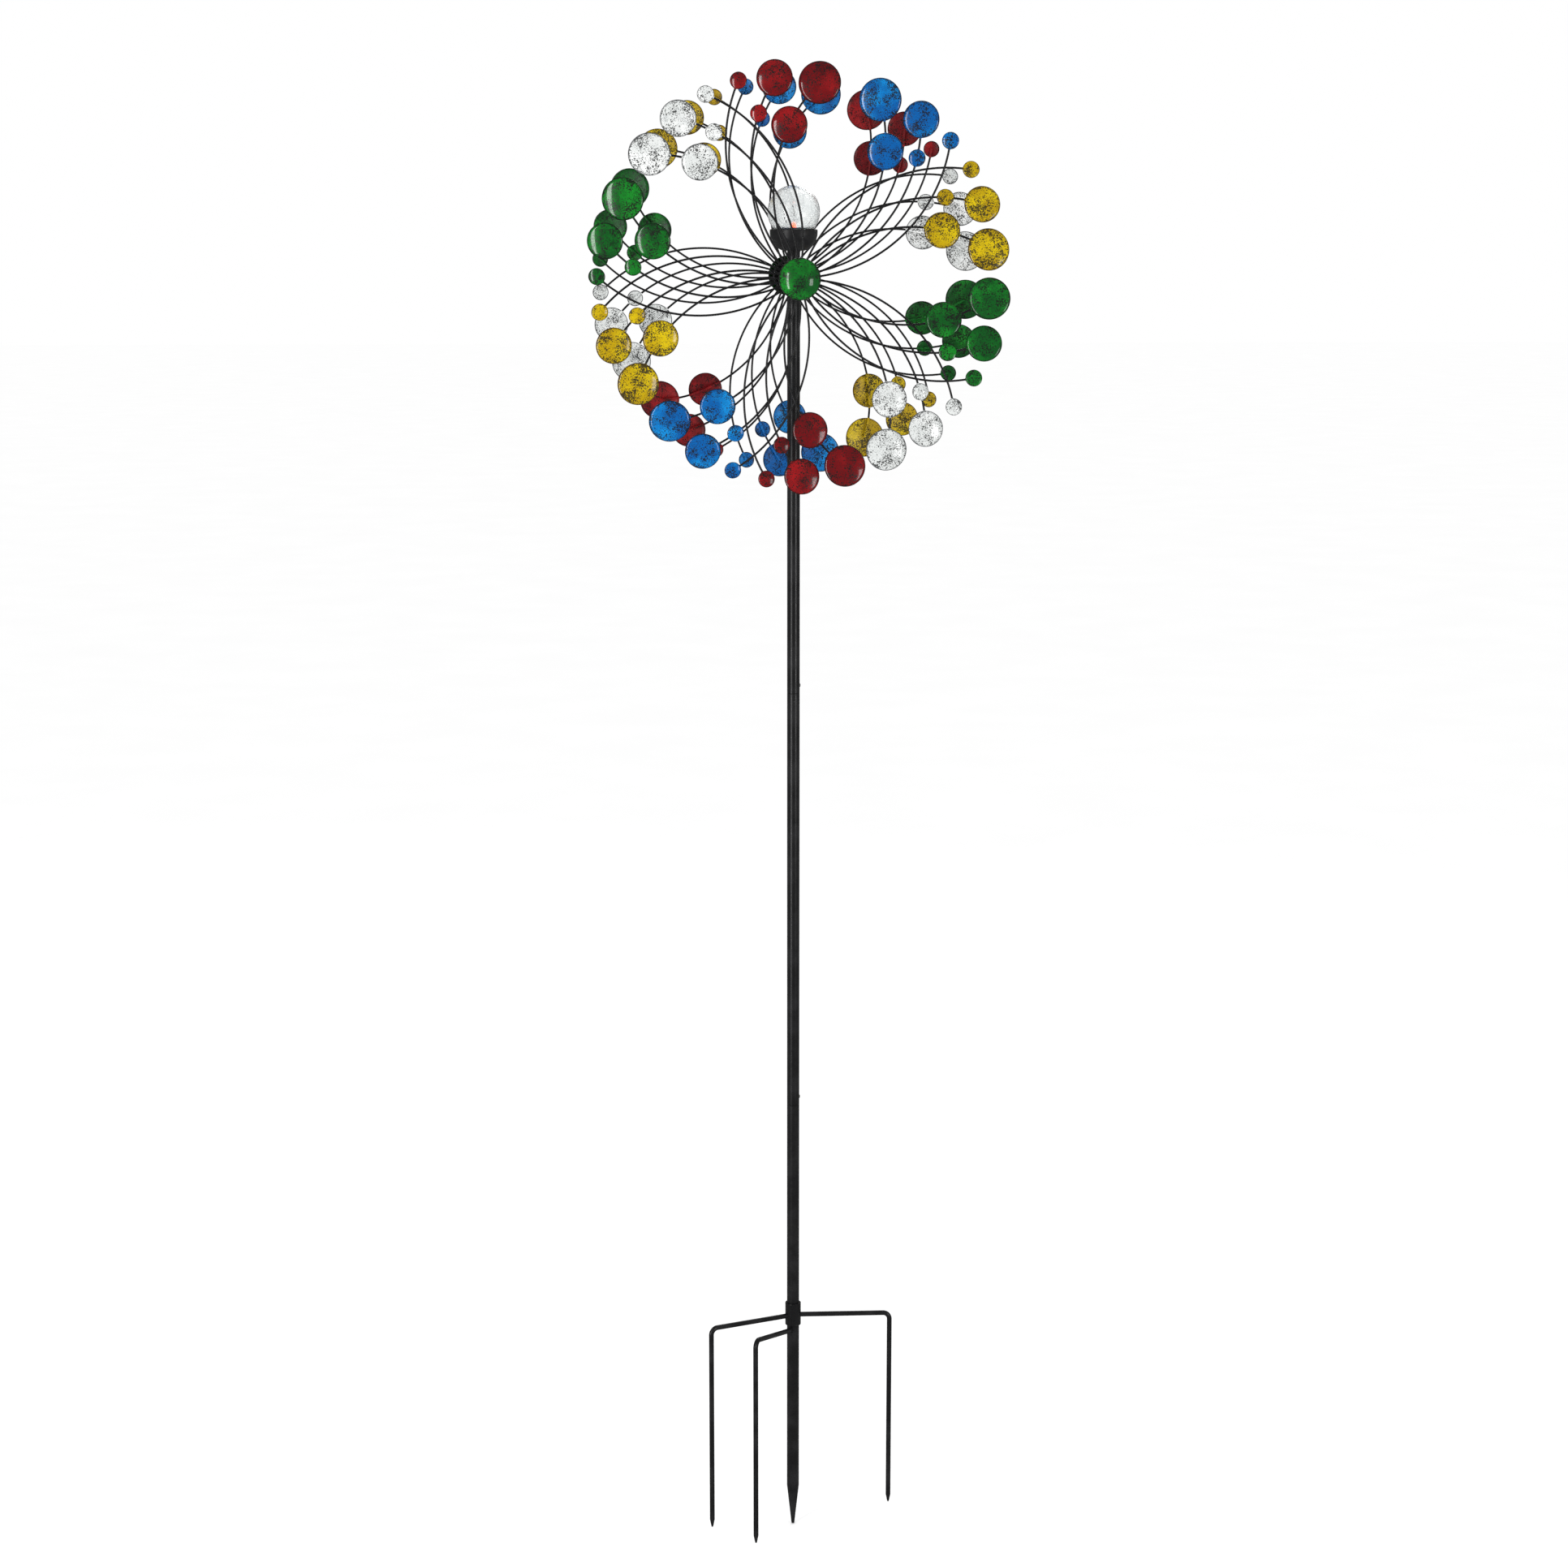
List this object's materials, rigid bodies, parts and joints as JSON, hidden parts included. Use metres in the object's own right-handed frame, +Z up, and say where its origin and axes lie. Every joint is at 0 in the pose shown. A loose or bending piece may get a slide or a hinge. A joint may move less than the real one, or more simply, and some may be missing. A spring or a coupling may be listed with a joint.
{
  "type": "wind spinner",
  "caption": "Garden wind spinner: two free-turning wire wheels of domed enamel discs, back to back on one axle, with a solar ball light on a staked sectional pole.",
  "frame": {"origin": "on the pole's axis at ground level; everything below is pushed into the soil", "axes": "+Z up along the pole, the front wheel faces -Y, +X to the right seen from the front"},
  "size_m": [0.5047, 0.304, 1.905],
  "materials": {
    "black_steel": "satin powder coat",
    "plated_steel": "zinc plated",
    "nylon": "moulded",
    "red_enamel": "gloss speckled enamel",
    "blue_enamel": "gloss speckled enamel",
    "yellow_enamel": "gloss speckled enamel",
    "green_enamel": "gloss speckled enamel",
    "white_enamel": "gloss speckled enamel",
    "black_plastic": "moulded satin",
    "crackle_glass": "crackled clear glass",
    "solar_cell": "resin coated cell",
    "circuit_board": "solder mask",
    "led_lens": "clear epoxy",
    "battery_sleeve": "shrink sleeve"
  },
  "bodies": {
    "stand": {"lower_pole": "black_steel", "middle_pole": "black_steel", "upper_pole": "black_steel", "fixed_prong": "black_steel", "lower_button_spring": "plated_steel", "upper_button_spring": "plated_steel", "axle": "plated_steel", "axle_washers": "plated_steel", "axle_nuts": "plated_steel", "front_spacer": "black_steel", "rear_spacer": "black_steel"},
    "fork": {"fork_collar": "black_steel", "left_prong": "black_steel", "right_prong": "black_steel"},
    "front_rotor": {"front_hub": "black_steel", "front_bushes": "nylon", "front_finial": "green_enamel", "front_wires_1": "black_steel", "front_discs_1_blue": "blue_enamel", "front_discs_1_yellow": "yellow_enamel", "front_wires_2": "black_steel", "front_discs_2_white": "white_enamel", "front_discs_2_red": "red_enamel", "front_wires_3": "black_steel", "front_discs_3_yellow": "yellow_enamel", "front_discs_3_green": "green_enamel", "front_wires_4": "black_steel", "front_discs_4_red": "red_enamel", "front_discs_4_blue": "blue_enamel", "front_wires_5": "black_steel", "front_discs_5_green": "green_enamel", "front_discs_5_white": "white_enamel"},
    "rear_rotor": {"rear_hub": "black_steel", "rear_bushes": "nylon", "rear_finial": "green_enamel", "rear_wires_1": "black_steel", "rear_discs_1_blue": "blue_enamel", "rear_discs_1_yellow": "yellow_enamel", "rear_wires_2": "black_steel", "rear_discs_2_white": "white_enamel", "rear_discs_2_red": "red_enamel", "rear_wires_3": "black_steel", "rear_discs_3_yellow": "yellow_enamel", "rear_discs_3_green": "green_enamel", "rear_wires_4": "black_steel", "rear_discs_4_red": "red_enamel", "rear_discs_4_blue": "blue_enamel", "rear_wires_5": "black_steel", "rear_discs_5_green": "green_enamel", "rear_discs_5_white": "white_enamel"},
    "light": {"light_cup": "black_plastic", "glass_globe": "crackle_glass", "battery_tray": "black_plastic", "battery": "battery_sleeve", "circuit_board": "circuit_board", "solar_panel": "solar_cell", "led": "led_lens"},
    "switch": {"power_switch": "black_plastic"},
    "lower_button": {"lower_snap_button": "plated_steel"},
    "upper_button": {"upper_snap_button": "plated_steel"}
  },
  "joints": [
    {"name": "front_rotor_spin", "type": "hinge", "parent": "stand", "child": "front_rotor", "pos_m": [0, -0.127, 1.381], "axis": [0, -1, 0], "continuous": true},
    {"name": "rear_rotor_spin", "type": "hinge", "parent": "stand", "child": "rear_rotor", "pos_m": [0, 0.127, 1.381], "axis": [0, 1, 0], "continuous": true},
    {"name": "fork_fold", "type": "hinge", "parent": "stand", "child": "fork", "pos_m": [0, 0, 0.0296], "axis": [0, 0, 1], "range_deg": [-106, 27]},
    {"name": "light_lift", "type": "slide", "parent": "stand", "child": "light", "axis": [0, 0, 1], "range_m": [0, 0.03]},
    {"name": "switch_slide", "type": "slide", "parent": "light", "child": "switch", "axis": [1, 0, 0], "range_m": [0, 0.0044]},
    {"name": "lower_button_press", "type": "slide", "parent": "stand", "child": "lower_button", "axis": [-1, 0, 0], "range_m": [0, 0.0022], "stiffness_N_per_m": 900, "springref_m": -0.001},
    {"name": "upper_button_press", "type": "slide", "parent": "stand", "child": "upper_button", "axis": [-1, 0, 0], "range_m": [0, 0.0022], "stiffness_N_per_m": 900, "springref_m": -0.001}
  ]
}
